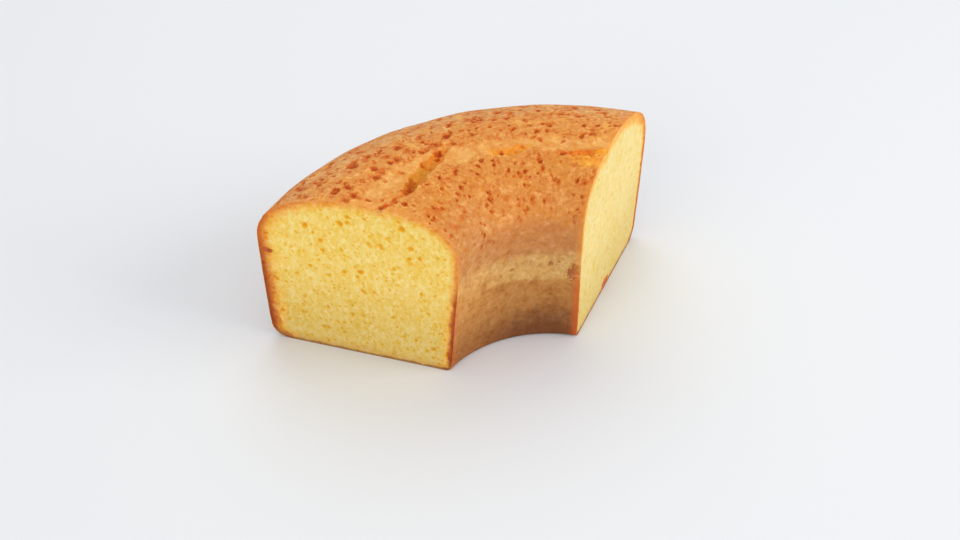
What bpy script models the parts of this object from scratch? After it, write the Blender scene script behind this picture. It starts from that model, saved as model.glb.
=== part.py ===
"""A cut piece of lemon ring cake, a little under a quarter of the ring, standing on its flat base.

Metres, +Z up. The origin lies on the base, under the middle of the piece. The hole of the ring faces -Y,
and the two straight cuts face left and right. The piece is one body: crumb and crust are one bake.
"""

import math

import bmesh
import bpy
from mathutils import Vector, noise

MM = 0.001

# The ring
RING_RADIUS = 140.0 * MM
HOLE_RADIUS = 51.6 * MM
RING_AXIS = Vector((-2.25 * MM, -90.64 * MM))

# The walls stood in the tin: they draw in towards the foot, which has a small round
INNER_WALL_TOP = 60.7 * MM
OUTER_WALL_TOP = 55.2 * MM
INNER_DRAFT = 3.1 * MM
OUTER_DRAFT = 2.8 * MM
INNER_DRAFT_CURVE = 1.32
OUTER_DRAFT_CURVE = 1.76
INNER_FOOT_ROUND = 2.4 * MM
OUTER_FOOT_ROUND = 8.0 * MM

# The dome rose out of the tin, higher towards the right cut
PEAK_RADIUS = 87.0 * MM
LEFT_HEIGHT = 83.9 * MM
RIGHT_HEIGHT = 90.2 * MM
INNER_FULLNESS = (2.26, 2.62)
OUTER_FULLNESS = (2.37, 2.05)

# The straight cuts: the way each one points, and how far it passes the axis of the ring
LEFT_CUT_ANGLE = math.radians(138.74)
RIGHT_CUT_ANGLE = math.radians(41.26)
LEFT_CUT_INSET = 16.85 * MM
RIGHT_CUT_INSET = 10.6 * MM

# The burst along the ridge is a shallow, rough band. Each point: share of the way from the left cut
# to the right one, radius, depth, half width
BURST_DEPTH = 0.9 * MM
BURST = (
    (-0.02, 90.0 * MM, 0.8 * BURST_DEPTH, 8.0 * MM),
    (0.15, 90.5 * MM, BURST_DEPTH, 10.0 * MM),
    (0.35, 89.0 * MM, BURST_DEPTH, 9.5 * MM),
    (0.50, 85.0 * MM, BURST_DEPTH, 8.0 * MM),
    (0.72, 81.5 * MM, 0.9 * BURST_DEPTH, 7.5 * MM),
    (1.02, 79.5 * MM, 0.8 * BURST_DEPTH, 7.0 * MM),
)
# The cracks in it, in the same terms
MAIN_CRACK = (
    (-0.02, 84.3 * MM, 0.9 * MM, 1.6 * MM),
    (0.05, 83.6 * MM, 1.2 * MM, 1.6 * MM),
    (0.12, 81.8 * MM, 1.5 * MM, 1.6 * MM),
    (0.17, 83.6 * MM, 2.8 * MM, 2.0 * MM),
    (0.25, 86.0 * MM, 3.2 * MM, 2.8 * MM),
    (0.33, 89.6 * MM, 3.0 * MM, 2.8 * MM),
    (0.38, 92.2 * MM, 2.6 * MM, 2.4 * MM),
    (0.44, 97.5 * MM, 0.5 * MM, 1.8 * MM),
)
MIDDLE_CRACK = (
    (0.53, 81.6 * MM, 0.3 * MM, 2.2 * MM),
    (0.60, 79.6 * MM, 1.4 * MM, 2.6 * MM),
    (0.69, 81.4 * MM, 0.3 * MM, 2.2 * MM),
)
RIGHT_CRACK = (
    (0.80, 74.4 * MM, 0.4 * MM, 1.6 * MM),
    (0.91, 74.9 * MM, 1.5 * MM, 1.9 * MM),
    (1.02, 77.6 * MM, 1.9 * MM, 2.4 * MM),
)

# Unevenness of the crust: a soft swell all over, and a ragged one within the burst. The crust swells away
# from the core of the section, given as radius and height
SWELL = 0.45 * MM
SWELL_SIZE = 19.0 * MM
SWELL_SEED = 3.7
RAGGED = 0.4 * MM
RAGGED_SIZE = 5.5 * MM
RAGGED_SEED = 11.3
SECTION_CORE = Vector((95.8 * MM, 38.0 * MM))

# How finely the body is divided
SWEEP_STEPS = 66
WALL_STEPS = 6
INNER_FOOT_STEPS = 2
OUTER_FOOT_STEPS = 4
INNER_DOME_STEPS = 21
OUTER_DOME_STEPS = 25
RIDGE_CROWDING = 1.35
SWEEP_TURN = 1.0

CRUST_COLOUR = (0.72, 0.29, 0.075, 1.0)
CRUST_ROUGHNESS = 0.55
CUT_EDGE_ANGLE = math.radians(50.0)


def clear_scene():
    for leftover in list(bpy.data.objects):
        bpy.data.objects.remove(leftover, do_unlink=True)


def blend(ends, share):
    return ends[0] + (ends[1] - ends[0]) * share


def wall_offset(height, top, draft, curve):
    """How far the wall stands in from its widest line at this height."""
    return draft * max(1.0 - height / top, 0.0) ** curve


def inner_wall():
    """Points from the foot of the hole's wall up to where the dome begins."""
    foot = HOLE_RADIUS + wall_offset(INNER_FOOT_ROUND, INNER_WALL_TOP, INNER_DRAFT, INNER_DRAFT_CURVE)
    points = []
    for step in range(INNER_FOOT_STEPS):
        turn = 0.5 * math.pi * step / INNER_FOOT_STEPS
        radius = foot + INNER_FOOT_ROUND * (1.0 - math.sin(turn))
        points.append((radius, INNER_FOOT_ROUND * (1.0 - math.cos(turn))))
    for step in range(WALL_STEPS):
        height = INNER_FOOT_ROUND + (INNER_WALL_TOP - INNER_FOOT_ROUND) * step / WALL_STEPS
        inset = wall_offset(height, INNER_WALL_TOP, INNER_DRAFT, INNER_DRAFT_CURVE)
        points.append((HOLE_RADIUS + inset, height))
    return points


def outer_wall():
    """Points from the foot of the outer wall up to where the dome begins."""
    foot = RING_RADIUS - wall_offset(OUTER_FOOT_ROUND, OUTER_WALL_TOP, OUTER_DRAFT, OUTER_DRAFT_CURVE)
    points = []
    for step in range(OUTER_FOOT_STEPS):
        turn = 0.5 * math.pi * step / OUTER_FOOT_STEPS
        radius = foot - OUTER_FOOT_ROUND * (1.0 - math.sin(turn))
        points.append((radius, OUTER_FOOT_ROUND * (1.0 - math.cos(turn))))
    for step in range(WALL_STEPS):
        height = OUTER_FOOT_ROUND + (OUTER_WALL_TOP - OUTER_FOOT_ROUND) * step / WALL_STEPS
        inset = wall_offset(height, OUTER_WALL_TOP, OUTER_DRAFT, OUTER_DRAFT_CURVE)
        points.append((RING_RADIUS - inset, height))
    return points


def dome_side(edge_radius, edge_height, peak_height, fullness, steps):
    """Points of one side of the dome, from its edge up to just short of the peak."""
    points = []
    for step in range(steps):
        turn = 0.5 * math.pi * (1.0 - (1.0 - step / steps) ** RIDGE_CROWDING)
        out = math.cos(turn) ** (2.0 / fullness)
        up = math.sin(turn) ** (2.0 / fullness)
        radius = PEAK_RADIUS + (edge_radius - PEAK_RADIUS) * out
        points.append((radius, edge_height + (peak_height - edge_height) * up))
    return points


def section_outline(share):
    """The section at this share of the sweep: (radius, height) from the hole's foot over the dome."""
    height = blend((LEFT_HEIGHT, RIGHT_HEIGHT), share)
    inside = dome_side(
        HOLE_RADIUS, INNER_WALL_TOP, height, blend(INNER_FULLNESS, share), INNER_DOME_STEPS
    )
    outside = dome_side(
        RING_RADIUS, OUTER_WALL_TOP, height, blend(OUTER_FULLNESS, share), OUTER_DOME_STEPS
    )
    outer_side = outer_wall() + outside
    return inner_wall() + inside + [(PEAK_RADIUS, height)] + outer_side[::-1]


def plan_position(share, radius):
    """Where this share of the sweep lies in plan, from the ring's axis. 0 is the left cut, 1 the right."""
    left = LEFT_CUT_ANGLE - math.asin(LEFT_CUT_INSET / radius)
    right = RIGHT_CUT_ANGLE + math.asin(RIGHT_CUT_INSET / radius)
    angle = blend((left, right), share)
    return Vector((radius * math.cos(angle), radius * math.sin(angle)))


def trench_at(spot, line):
    """Depth of a crack or burst at this spot in plan, from full on its line to none at its half width."""
    deepest = 0.0
    for start, end in zip(line, line[1:]):
        run_start = plan_position(start[0], start[1])
        run = plan_position(end[0], end[1]) - run_start
        along = min(max((spot - run_start).dot(run) / run.length_squared, 0.0), 1.0)
        aside = (spot - run_start - run * along).length
        half_width = blend((start[3], end[3]), along)
        if aside < half_width:
            depth = blend((start[2], end[2]), along)
            deepest = max(deepest, depth * (1.0 - (aside / half_width) ** 2))
    return deepest


def unevenness(place, size, seed):
    """A smooth, repeatable rise and fall between -1 and 1, with lumps of about this size."""
    return noise.noise(place / size + Vector((seed, 0.0, 0.0)))


def crust_relief(place, radius):
    """How far the crust swells or is cut down at a place on the smooth body: (outwards, up)."""
    spot = place.xy
    burst = trench_at(spot, BURST) if place.z > INNER_WALL_TOP else 0.0
    cracks = (MAIN_CRACK, MIDDLE_CRACK, RIGHT_CRACK) if burst else ()
    crack = max((trench_at(spot, line) for line in cracks), default=0.0)
    foot_fade = min(place.z / INNER_WALL_TOP, 1.0)
    swell = SWELL * foot_fade * unevenness(place, SWELL_SIZE, SWELL_SEED)
    swell += RAGGED * burst / BURST_DEPTH * unevenness(place, RAGGED_SIZE, RAGGED_SEED)
    outwards = (Vector((radius, place.z)) - SECTION_CORE).normalized()
    return outwards * swell - Vector((0.0, burst + crack))


def sweep_section(body):
    """Swings the section through the sweep. Every point keeps its station on the outline."""
    station = body.verts.layers.int.new("station")
    corners = []
    for number, (radius, height) in enumerate(section_outline(0.0)):
        corner = body.verts.new((radius, 0.0, height))
        corner[station] = number
        corners.append(corner)
    section = body.faces.new(corners)
    bmesh.ops.spin(
        body,
        geom=[section] + section.edges[:] + corners,
        cent=(0.0, 0.0, 0.0),
        axis=(0.0, 0.0, -1.0),
        angle=SWEEP_TURN,
        steps=SWEEP_STEPS,
    )
    return station


def shape_body(body, station):
    """Moves each swept point to its place between the cuts, with the dome's height and the relief."""
    outlines = {}
    for corner in body.verts:
        column = round(math.atan2(-corner.co.y, corner.co.x) / SWEEP_TURN * SWEEP_STEPS)
        share = column / SWEEP_STEPS
        if column not in outlines:
            outlines[column] = section_outline(share)
        radius, height = outlines[column][corner[station]]
        spot = plan_position(share, radius)
        relief = crust_relief(Vector((spot.x, spot.y, height)), radius)
        spot = plan_position(share, radius + relief.x)
        corner.co = (spot.x + RING_AXIS.x, spot.y + RING_AXIS.y, height + relief.y)


def crust_material():
    material = bpy.data.materials.new("browned crust")
    material.use_nodes = True
    surface = material.node_tree.nodes["Principled BSDF"]
    surface.inputs["Base Color"].default_value = CRUST_COLOUR
    surface.inputs["Roughness"].default_value = CRUST_ROUGHNESS
    surface.inputs["Metallic"].default_value = 0.0
    return material


def make_ring_cake():
    body = bmesh.new()
    station = sweep_section(body)
    shape_body(body, station)
    bmesh.ops.recalc_face_normals(body, faces=body.faces)
    mesh = bpy.data.meshes.new("ring_cake")
    body.to_mesh(mesh)
    body.free()
    mesh.shade_smooth()
    mesh.set_sharp_from_angle(angle=CUT_EDGE_ANGLE)
    mesh.materials.append(crust_material())
    cake = bpy.data.objects.new("ring_cake", mesh)
    bpy.context.scene.collection.objects.link(cake)


clear_scene()
make_ring_cake()
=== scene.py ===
"""The looks of a cut piece of lemon ring cake: baked crust, crumb, floor, light and camera.

Metres, +Z up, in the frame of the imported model. The base lies on z = 0, the hole of the ring faces -Y, and
the two straight cuts face left and right.
"""

import math

import bmesh
import bpy
import numpy as np
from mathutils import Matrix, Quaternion, Vector, noise


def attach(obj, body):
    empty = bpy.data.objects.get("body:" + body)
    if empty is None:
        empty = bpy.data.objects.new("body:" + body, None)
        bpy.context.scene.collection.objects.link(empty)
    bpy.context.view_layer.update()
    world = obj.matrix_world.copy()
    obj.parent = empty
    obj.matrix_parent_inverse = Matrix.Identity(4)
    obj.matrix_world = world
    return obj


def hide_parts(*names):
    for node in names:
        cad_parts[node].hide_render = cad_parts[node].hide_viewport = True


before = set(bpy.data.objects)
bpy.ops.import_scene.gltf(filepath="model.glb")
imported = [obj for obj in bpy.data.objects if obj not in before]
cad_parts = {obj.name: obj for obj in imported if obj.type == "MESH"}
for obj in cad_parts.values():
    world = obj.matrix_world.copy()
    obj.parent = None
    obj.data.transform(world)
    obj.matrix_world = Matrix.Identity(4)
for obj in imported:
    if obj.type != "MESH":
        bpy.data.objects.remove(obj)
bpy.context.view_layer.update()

MM = 0.001

# The places of the finishes on the cake's mesh, after the crust's, which is 0
CRUMB_FINISH = 1
BASE_FINISH = 2

# The ring, its section and its cuts, as in the solid
RING_RADIUS = 140.0 * MM
HOLE_RADIUS = 51.6 * MM
RING_AXIS = Vector((-2.25 * MM, -90.64 * MM))
INNER_WALL_TOP = 60.7 * MM
OUTER_WALL_TOP = 55.2 * MM
INNER_DRAFT = 3.1 * MM
OUTER_DRAFT = 2.8 * MM
INNER_DRAFT_CURVE = 1.32
OUTER_DRAFT_CURVE = 1.76
INNER_FOOT_ROUND = 2.4 * MM
OUTER_FOOT_ROUND = 8.0 * MM
PEAK_RADIUS = 87.0 * MM
LEFT_HEIGHT = 83.9 * MM
RIGHT_HEIGHT = 90.2 * MM
INNER_FULLNESS = (2.26, 2.62)
OUTER_FULLNESS = (2.37, 2.05)
LEFT_CUT_ANGLE = math.radians(138.74)
RIGHT_CUT_ANGLE = math.radians(41.26)
LEFT_CUT_INSET = 16.85 * MM
RIGHT_CUT_INSET = 10.6 * MM

# The burst along the ridge, as in the solid, and the cracks in it, with depths and widths of their own
# because hollows add to them. Each point: share of the way from the left cut to the right one, radius,
# depth, half width
BURST_DEPTH = 0.9 * MM
BURST = (
    (-0.02, 90.0 * MM, 0.8 * BURST_DEPTH, 8.0 * MM),
    (0.15, 90.5 * MM, BURST_DEPTH, 10.0 * MM),
    (0.35, 89.0 * MM, BURST_DEPTH, 9.5 * MM),
    (0.50, 85.0 * MM, BURST_DEPTH, 8.0 * MM),
    (0.72, 81.5 * MM, 0.9 * BURST_DEPTH, 7.5 * MM),
    (1.02, 79.5 * MM, 0.8 * BURST_DEPTH, 7.0 * MM),
)
MAIN_CRACK = (
    (-0.02, 84.3 * MM, 0.8 * MM, 1.5 * MM),
    (0.04, 83.6 * MM, 0.7 * MM, 1.4 * MM),
    (0.11, 81.4 * MM, 0.6 * MM, 1.6 * MM),
    (0.15, 82.0 * MM, 1.5 * MM, 3.0 * MM),
    (0.19, 83.6 * MM, 1.5 * MM, 3.6 * MM),
    (0.23, 85.4 * MM, 1.4 * MM, 4.4 * MM),
    (0.31, 88.6 * MM, 1.4 * MM, 4.2 * MM),
    (0.36, 91.6 * MM, 1.5 * MM, 3.4 * MM),
    (0.41, 95.0 * MM, 0.3 * MM, 2.4 * MM),
)
MIDDLE_CRACK = (
    (0.53, 81.6 * MM, 0.4 * MM, 2.8 * MM),
    (0.60, 79.6 * MM, 1.5 * MM, 3.6 * MM),
    (0.69, 81.4 * MM, 0.4 * MM, 2.8 * MM),
)
RIGHT_CRACK = (
    (0.78, 74.4 * MM, 0.4 * MM, 1.8 * MM),
    (0.88, 74.6 * MM, 1.2 * MM, 2.2 * MM),
    (1.02, 77.6 * MM, 1.9 * MM, 2.8 * MM),
)
# Hollows in the cracks: share of the sweep, radius, half width, strength
HOLLOWS = (
    (0.000, 84.0 * MM, 1.3 * MM, 0.8),
    (0.035, 83.4 * MM, 1.0 * MM, 0.5),
    (0.070, 82.6 * MM, 1.1 * MM, 0.7),
    (0.105, 81.6 * MM, 1.2 * MM, 0.6),
    (0.136, 80.7 * MM, 2.2 * MM, 1.0),
    (0.156, 81.9 * MM, 2.9 * MM, 1.0),
    (0.178, 83.2 * MM, 2.8 * MM, 1.0),
    (0.200, 84.9 * MM, 2.2 * MM, 0.9),
    (0.232, 84.4 * MM, 1.8 * MM, 0.5),
    (0.262, 86.8 * MM, 2.0 * MM, 0.4),
    (0.300, 87.2 * MM, 1.8 * MM, 0.5),
    (0.328, 89.9 * MM, 1.4 * MM, 0.5),
    (0.352, 91.0 * MM, 1.7 * MM, 1.0),
    (0.366, 93.2 * MM, 1.3 * MM, 0.6),
    (0.350, 97.2 * MM, 1.8 * MM, 0.7),
    (0.560, 81.0 * MM, 1.3 * MM, 0.5),
    (0.590, 79.2 * MM, 1.9 * MM, 0.8),
    (0.625, 80.4 * MM, 1.5 * MM, 0.6),
    (0.660, 81.8 * MM, 1.4 * MM, 0.5),
    (0.820, 74.1 * MM, 1.4 * MM, 0.8),
    (0.855, 75.0 * MM, 1.2 * MM, 0.6),
    (0.890, 74.5 * MM, 1.6 * MM, 0.7),
    (0.930, 75.7 * MM, 1.4 * MM, 0.5),
)
# Depth of a hollow as a share of its half width, and the depth at which a crack has its full colour
HOLLOW_DEPTH = 0.5
FULL_CRACK = 1.5 * MM

# The crust swells away from this place in the section
SECTION_CORE = Vector((95.8 * MM, 38.0 * MM))
# Unevenness of the crust's form, each as height, size of its lumps and seed: a soft swell all over, and a
# ragged one within the burst
SWELL = (0.45 * MM, 19.0 * MM, 3.7)
RAGGED = (0.4 * MM, 5.5 * MM, 11.3)
# How far the edges of the burst and of the cracks wander from their lines, over what length, and a seed
BURST_WANDER = (3.2 * MM, 9.0 * MM, 21.0)
CRACK_WANDER = (1.9 * MM, 3.4 * MM, 33.0)
# The wide and the fine bends of such an edge, each as shares of its reach and of its length, and what they
# add to its seed in the two directions of the plan
BENDS = ((1.0, 1.0, 0.0, 50.0), (0.4, 0.35, 9.0, 60.0))

# How finely the crust and the cut faces are divided
SWEEP_STEPS = 184
SWEEP_TURN = 1.0
INNER_FOOT_STEPS = 4
INNER_WALL_STEPS = 62
OUTER_FOOT_STEPS = 11
OUTER_WALL_STEPS = 42
INNER_DOME_STEPS = 78
OUTER_DOME_STEPS = 106
RIDGE_CROWDING = 1.2
CRUMB_CELL = 0.62 * MM
CELL_JITTER = 0.17 * MM
# Points nearer than this to a dividing plane are taken as on it, and no strip is thinner than this share
ON_PLANE = 0.02 * MM
THINNEST_CELL = 0.3
# Points this near to a cut's plane, or to the base, lie on it, and a face on it points this much its way
ON_CUT = 0.5 * MM
ON_BASE = 0.05 * MM
FACING = 0.99
# Keeps a division from being one by nothing
TINY = 1e-12
# About how far the sweep goes along the crust
SWEEP_LENGTH = 120.0 * MM

RANDOM_SEED = 20

# Fine relief, each as height, size of its lumps and seed: leather all over the crust, torn lumps inside the
# burst and the cracks, and the roughness and knife waves of the cut faces
LEATHER = (0.07 * MM, 2.3 * MM, 5.1)
BURST_LUMPS = (0.32 * MM, 2.7 * MM, 2.3)
CRACK_LUMPS = (0.6 * MM, 2.0 * MM, 8.4)
CRUMB_ROUGH = (0.11 * MM, 1.5 * MM, 1.7)
KNIFE_WAVE = (0.16 * MM, 17.0 * MM, 6.2)
# How steeply the lumps of a crack rise with its depth, and the height below which all relief fades out
CRACK_LUMP_RISE = 3.0
RELIEF_FADE = 4.0 * MM

# Pits of the crust: their number, smallest and largest radius, depth as a share of it, faintest strength,
# the zone of the outline where they lie, the length over which they thin out towards its ends, and how much
# rarer they are in the burst
PIT_COUNT = 560
PIT_RADIUS = (0.8 * MM, 1.8 * MM)
PIT_DEPTH = 0.42
PIT_FAINTEST = 0.35
PIT_ZONE = (52.0 * MM, 190.0 * MM)
PIT_FADE = 24.0 * MM
BURST_CALM = 0.75
# Over these lengths along the outline pits grow more frequent and larger, by these factors
FAR_SIDE = (108.0 * MM, 122.0 * MM)
FAR_SIDE_PITS = 1.3
FAR_SIDE_GROWTH = 1.6

# Pits and pores: how far their edges are out of round, over what length, and a seed, then how far at most
# they are squeezed, how firmly along the ring, and how far around its middle one is looked for, in radii
DIMPLE_UNEVEN = (0.5, 1.5 * MM, 4.4)
DIMPLE_SQUEEZE = 0.9
DIMPLE_LEAN = 2.0
DIMPLE_REACH = 1.6

# Pits that stand out, each as share of the sweep, length along the outline and radius
CHIEF_PITS = (
    (0.055, 131.0 * MM, 1.6 * MM),
    (0.265, 137.0 * MM, 1.4 * MM),
    (0.230, 125.5 * MM, 1.7 * MM),
    (0.385, 124.5 * MM, 1.5 * MM),
    (0.375, 118.0 * MM, 1.6 * MM),
    (0.010, 110.0 * MM, 1.3 * MM),
    (0.060, 102.0 * MM, 1.4 * MM),
    (0.135, 106.0 * MM, 1.5 * MM),
    (0.350, 102.5 * MM, 1.7 * MM),
    (0.505, 99.0 * MM, 1.5 * MM),
    (0.560, 94.0 * MM, 1.4 * MM),
    (0.630, 91.5 * MM, 1.5 * MM),
    (0.615, 86.0 * MM, 1.3 * MM),
    (0.710, 96.0 * MM, 1.8 * MM),
    (0.775, 86.5 * MM, 1.4 * MM),
    (0.905, 85.5 * MM, 1.5 * MM),
    (0.955, 78.5 * MM, 1.5 * MM),
    (0.720, 77.5 * MM, 1.4 * MM),
    (0.375, 79.0 * MM, 1.5 * MM),
    (0.050, 78.5 * MM, 1.5 * MM),
    (0.930, 68.0 * MM, 1.3 * MM),
    (0.780, 46.0 * MM, 1.5 * MM),
    (0.500, 45.5 * MM, 1.1 * MM),
    (0.405, 43.0 * MM, 0.9 * MM),
    (0.845, 47.5 * MM, 0.9 * MM),
    (0.700, 122.0 * MM, 1.6 * MM),
    (0.635, 124.5 * MM, 1.3 * MM),
    (0.540, 126.0 * MM, 1.4 * MM),
    (0.925, 122.0 * MM, 1.5 * MM),
    (0.940, 132.0 * MM, 1.4 * MM),
    (0.815, 100.0 * MM, 1.5 * MM),
    (0.570, 106.0 * MM, 1.4 * MM),
)

# Pores of the crumb: number on each cut face, smallest and largest radius, depth as a share of it, and
# faintest strength
PORE_COUNT = 430
PORE_RADIUS = (0.45 * MM, 1.25 * MM)
PORE_DEPTH = 0.45
PORE_FAINTEST = 0.45

# Pores that stand out on the left cut, each as distance along the cut from the ring's axis, height, radius
CHIEF_PORES = (
    (116.6 * MM, 67.1 * MM, 1.9 * MM),
    (100.7 * MM, 71.8 * MM, 1.6 * MM),
    (96.9 * MM, 75.7 * MM, 1.3 * MM),
    (109.8 * MM, 60.6 * MM, 1.5 * MM),
    (109.2 * MM, 55.3 * MM, 1.3 * MM),
    (82.9 * MM, 63.1 * MM, 1.6 * MM),
    (73.4 * MM, 74.8 * MM, 1.9 * MM),
    (69.7 * MM, 65.1 * MM, 1.4 * MM),
    (70.7 * MM, 59.5 * MM, 1.5 * MM),
    (65.9 * MM, 60.6 * MM, 1.2 * MM),
    (92.5 * MM, 47.1 * MM, 1.6 * MM),
    (100.3 * MM, 45.8 * MM, 1.2 * MM),
    (97.3 * MM, 21.9 * MM, 1.3 * MM),
    (108.4 * MM, 23.7 * MM, 1.1 * MM),
    (132.0 * MM, 34.0 * MM, 1.4 * MM),
)

# Dark spots baked into the crust: share of the sweep, length along the outline, half width along the sweep,
# half length along the outline
STAINS = (
    (0.952, 41.5 * MM, 3.2 * MM, 6.0 * MM),
    (0.012, 109.0 * MM, 2.8 * MM, 1.4 * MM),
    (0.372, 117.5 * MM, 2.0 * MM, 1.8 * MM),
)
# Browned scraps on the cut faces: side, distance along the cut, height, half width, half height
SCRAPS = (
    ("left", 135.4 * MM, 49.6 * MM, 3.4 * MM, 1.5 * MM),
    ("right", 92.5 * MM, 2.2 * MM, 6.6 * MM, 2.9 * MM),
)

# How deep the browning reaches into each cut face, by length along the outline in millimetres
RIND_DEPTHS = {
    "left": (
        (0, 5.0), (45, 4.8), (62, 4.2), (112, 4.8), (140, 5.6), (160, 7.4), (185, 8.8), (225, 9.0),
        (241, 6.0),
    ),
    "right": (
        (0, 3.4), (45, 3.4), (70, 5.2), (85, 6.9), (98, 7.5), (112, 7.6), (150, 7.8), (172, 6.4),
        (200, 4.8), (241, 4.2),
    ),
}

# Colours of the bake as the eye sees them, by length along the outline in millimetres from the hole's foot:
# brown foot, golden wall, tan band, brown upper wall, orange shoulders and ridge, then the outer side. The
# foot and the lower walls are darker partly from their own bake and partly as painted shade, and the paler,
# greyer stops at 146 and 142, high on the outer side, are a painted sheen
LEFT_BAKE_AND_PAINTED_LIGHT = (
    (0, (151, 94, 49)),
    (14, (169, 113, 61)),
    (30, (200, 139, 75)),
    (42, (207, 146, 79)),
    (48, (217, 163, 95)),
    (58, (202, 139, 83)),
    (74, (203, 138, 77)),
    (96, (210, 139, 65)),
    (112, (220, 147, 69)),
    (130, (217, 145, 73)),
    (146, (214, 153, 92)),
    (168, (206, 140, 79)),
    (186, (199, 130, 69)),
    (196, (209, 147, 85)),
    (204, (189, 122, 61)),
    (222, (171, 106, 53)),
    (240, (141, 84, 45)),
)
RIGHT_BAKE_AND_PAINTED_LIGHT = (
    (0, (127, 78, 44)),
    (12, (149, 97, 55)),
    (22, (174, 118, 64)),
    (37, (192, 134, 73)),
    (38.6, (209, 162, 96)),
    (50.5, (209, 161, 97)),
    (56, (195, 130, 77)),
    (66, (202, 133, 75)),
    (73, (215, 141, 71)),
    (95, (211, 137, 64)),
    (108, (218, 146, 71)),
    (128, (214, 142, 72)),
    (142, (209, 153, 95)),
    (168, (204, 138, 79)),
    (184, (195, 126, 69)),
    (188, (206, 147, 84)),
    (197, (205, 146, 86)),
    (204, (185, 120, 59)),
    (222, (165, 100, 51)),
    (240, (133, 80, 43)),
)
# Colours of the browned rim on the cut faces, by the same lengths
RIND_BAKE = (
    (0, (176, 84, 36)),
    (20, (196, 96, 40)),
    (42, (210, 116, 48)),
    (48, (228, 150, 66)),
    (75, (241, 173, 81)),
    (112, (244, 182, 90)),
    (145, (239, 170, 79)),
    (168, (234, 152, 64)),
    (188, (218, 128, 54)),
    (225, (202, 106, 44)),
    (241, (176, 86, 38)),
)
# Colours of the outermost line of that rim
EDGE_BAKE = (
    (0, (132, 56, 24)),
    (42, (168, 80, 36)),
    (52, (224, 138, 64)),
    (62, (236, 156, 76)),
    (112, (240, 164, 80)),
    (150, (226, 140, 66)),
    (176, (188, 92, 40)),
    (200, (144, 62, 30)),
    (241, (124, 52, 26)),
)
# Colours inside the cracks, by share of the sweep
CRACK_BAKE = (
    (0.00, (206, 92, 34)),
    (0.10, (222, 118, 42)),
    (0.15, (212, 126, 46)),
    (0.22, (208, 128, 34)),
    (0.27, (204, 136, 38)),
    (0.32, (214, 128, 34)),
    (0.36, (226, 130, 40)),
    (0.42, (232, 146, 52)),
    (0.56, (236, 154, 48)),
    (0.70, (234, 152, 56)),
    (0.80, (222, 116, 38)),
    (0.93, (228, 128, 36)),
    (1.00, (252, 190, 58)),
)
# Colours at the bottom of the hollows, by share of the sweep
HOLLOW_BAKE = (
    (0.00, (208, 50, 2)),
    (0.12, (200, 74, 6)),
    (0.16, (170, 66, 6)),
    (0.19, (178, 88, 12)),
    (0.24, (188, 106, 12)),
    (0.32, (192, 100, 14)),
    (0.36, (176, 56, 4)),
    (0.42, (206, 86, 14)),
    (0.60, (206, 98, 12)),
    (0.80, (206, 70, 12)),
    (1.00, (216, 90, 12)),
)

# Shades are colours as the eye sees them. Patches are given as size, detail and seed, with the bounds
# between which they ease in, their largest share and how upright they are where these count. An edge is
# given as the bounds between which a mark eases in, with the size and reach of its ragged outline where
# these aren't the usual ones
PATCH_ROUGHNESS = 0.55
BLOT_EDGE = (-0.035, 0.06)
# How much larger the clusters of blots are than a blot
CLUSTER_SIZE = 4.5
# Holes of the grain: their soft edge, and how far they are bent out of round, by bends of how fine a scale
GRAIN_EDGE = (0.16, -0.14)
GRAIN_DRIFT = 0.7 * MM
GRAIN_DRIFT_SCALE = 900.0

# Bands of the bake: how far their edges waver, and the shares of the sweep between which they change
BAND_WAVER = 9.0 * MM
WAVER_PATCHES = (15.0 * MM, 4.0, 1.0)
BAKE_CHANGE = (0.10, 0.55)
# Lengths along the outline between which the dome begins and ends, and how spotted the walls are
DOME_START = (52.0 * MM, 78.0 * MM)
DOME_END = (192.0 * MM, 160.0 * MM)
WALL_SPOTS = 0.12
# Spots are fainter by the hole, and patches stronger on the far side: the lengths along the outline between
# which they change, and their shares before and after
NEAR_SHOULDER = (66.0 * MM, 98.0 * MM, 0.55, 1.0)
FAR_PATCHES = (104.0 * MM, 126.0 * MM, 0.9, 1.6)
# Pale and deep patches of the dome: size, seed, bounds, largest share, shade
MOTTLE_DETAIL = 5.0
DOME_PATCHES = (
    (6.5 * MM, 2.0, 0.50, 0.68, 0.36, (240, 176, 90)),
    (5.0 * MM, 3.0, 0.52, 0.70, 0.42, (206, 110, 40)),
)
# Mottle of the walls and grain of the crust in layers: size of the patches, seed, largest share, and the
# tint by which the colour is multiplied there. Each has the same bounds and is as upright in all its layers
MOTTLE_BOUNDS = (0.46, 0.70)
MOTTLE_UPRIGHT = 0.95
WALL_MOTTLE = (
    (5.0 * MM, 18.0, 0.9, (0.78, 0.66, 0.56)),
    (4.2 * MM, 19.0, 0.8, (1.12, 1.20, 1.26)),
    (2.0 * MM, 26.0, 0.9, (0.84, 0.74, 0.66)),
)
GRAIN_DETAIL = 3.0
GRAIN_BOUNDS = (0.50, 0.66)
GRAIN_UPRIGHT = 0.8
CRUST_GRAIN = (
    (2.6 * MM, 14.0, 0.9, (1.14, 1.34, 1.75)),
    (1.3 * MM, 22.0, 0.7, (1.10, 1.25, 1.40)),
    (1.2 * MM, 23.0, 0.55, (0.88, 0.74, 0.66)),
    (2.2 * MM, 24.0, 0.8, (0.98, 0.88, 0.45)),
)
# The dark patch at the foot of the hole's wall, and the golden one beside the right crack: share of the
# sweep, half width as a share, length along the outline, half width along it
DARK_FOOT = (0.74, 0.30, 0.0, 22.0 * MM)
DARK_FOOT_EDGE = (-0.2, 1.0, 4.6 * MM, 2.2)
DARK_FOOT_SHADE = (110, 64, 38)
GOLDEN_SPOT = (0.97, 0.15, 97.8 * MM, 6.2 * MM)
GOLDEN_SPOT_EDGE = (0.0, 0.8, 3.0 * MM, 1.2)
GOLDEN_SPOT_SHADE = (246, 170, 54)
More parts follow.
